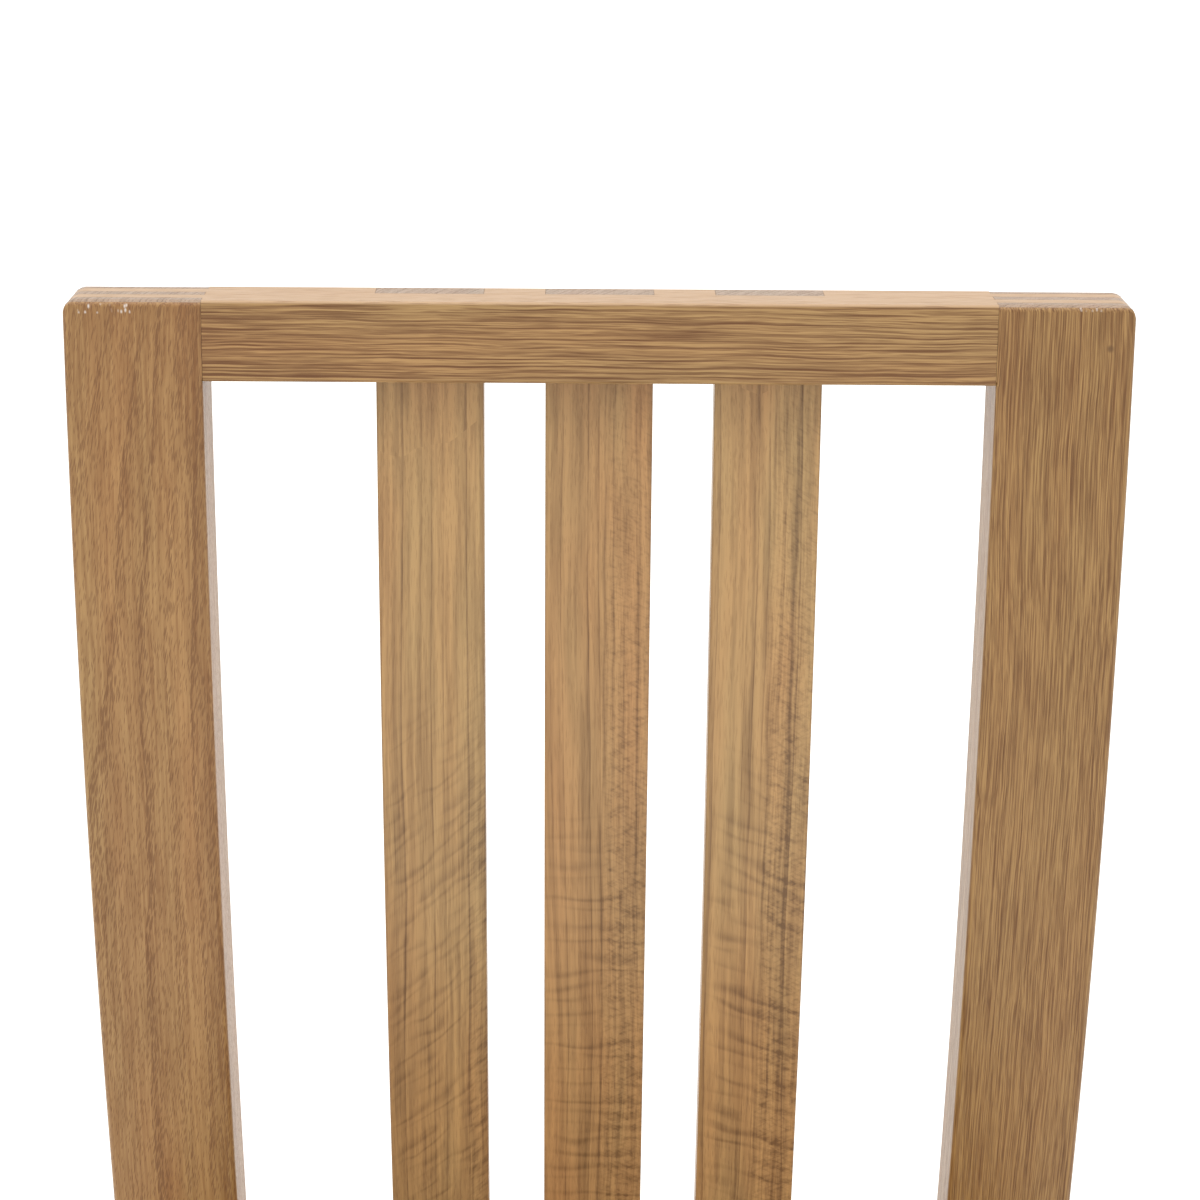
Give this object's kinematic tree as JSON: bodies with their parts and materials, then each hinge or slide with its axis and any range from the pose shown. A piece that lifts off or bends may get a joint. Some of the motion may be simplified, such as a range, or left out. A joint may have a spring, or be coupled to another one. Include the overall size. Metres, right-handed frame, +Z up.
{
  "type": "dining chair",
  "caption": "Solid oak dining chair with a slatted back, comb-jointed crest rail, bent rear legs, plank seat on a rail frame and square front legs.",
  "frame": {"origin": "on the floor, under the middle of the chair's outer box", "axes": "+X to the chair's left side as the sitter faces forward, -Y out of the front of the seat, +Z up"},
  "size_m": [0.46, 0.5336, 1],
  "materials": {
    "oak": "solid oak, satin clear lacquer",
    "pale_oak": "quarter-sawn oak, satin clear lacquer",
    "beech": "planed beech, unfinished",
    "zinc_steel": "zinc-plated steel",
    "nylon": "moulded brown nylon"
  },
  "bodies": {
    "root": {"back_slat_left": "pale_oak", "back_slat_middle": "pale_oak", "back_slat_right": "pale_oak", "corner_block_front_left": "beech", "corner_block_front_right": "beech", "corner_block_rear_left": "beech", "corner_block_rear_right": "beech", "crest_rail": "oak", "front_leg_left": "oak", "front_leg_right": "oak", "glide_front_left": "nylon", "glide_front_right": "nylon", "glide_rear_left": "nylon", "glide_rear_right": "nylon", "lower_back_rail": "oak", "rear_leg_left": "oak", "rear_leg_right": "oak", "screw_front_left_to_front_rail": "zinc_steel", "screw_front_left_to_seat": "zinc_steel", "screw_front_left_to_side": "zinc_steel", "screw_front_right_to_front_rail": "zinc_steel", "screw_front_right_to_seat": "zinc_steel", "screw_front_right_to_side": "zinc_steel", "screw_rear_left_to_rear_rail": "zinc_steel", "screw_rear_left_to_seat": "zinc_steel", "screw_rear_left_to_side": "zinc_steel", "screw_rear_right_to_rear_rail": "zinc_steel", "screw_rear_right_to_seat": "zinc_steel", "screw_rear_right_to_side": "zinc_steel", "seat_board_1": "oak", "seat_board_2": "oak", "seat_board_3": "oak", "seat_board_4": "oak", "seat_rail_front": "oak", "seat_rail_left": "oak", "seat_rail_rear": "oak", "seat_rail_right": "oak"}
  },
  "joints": []
}
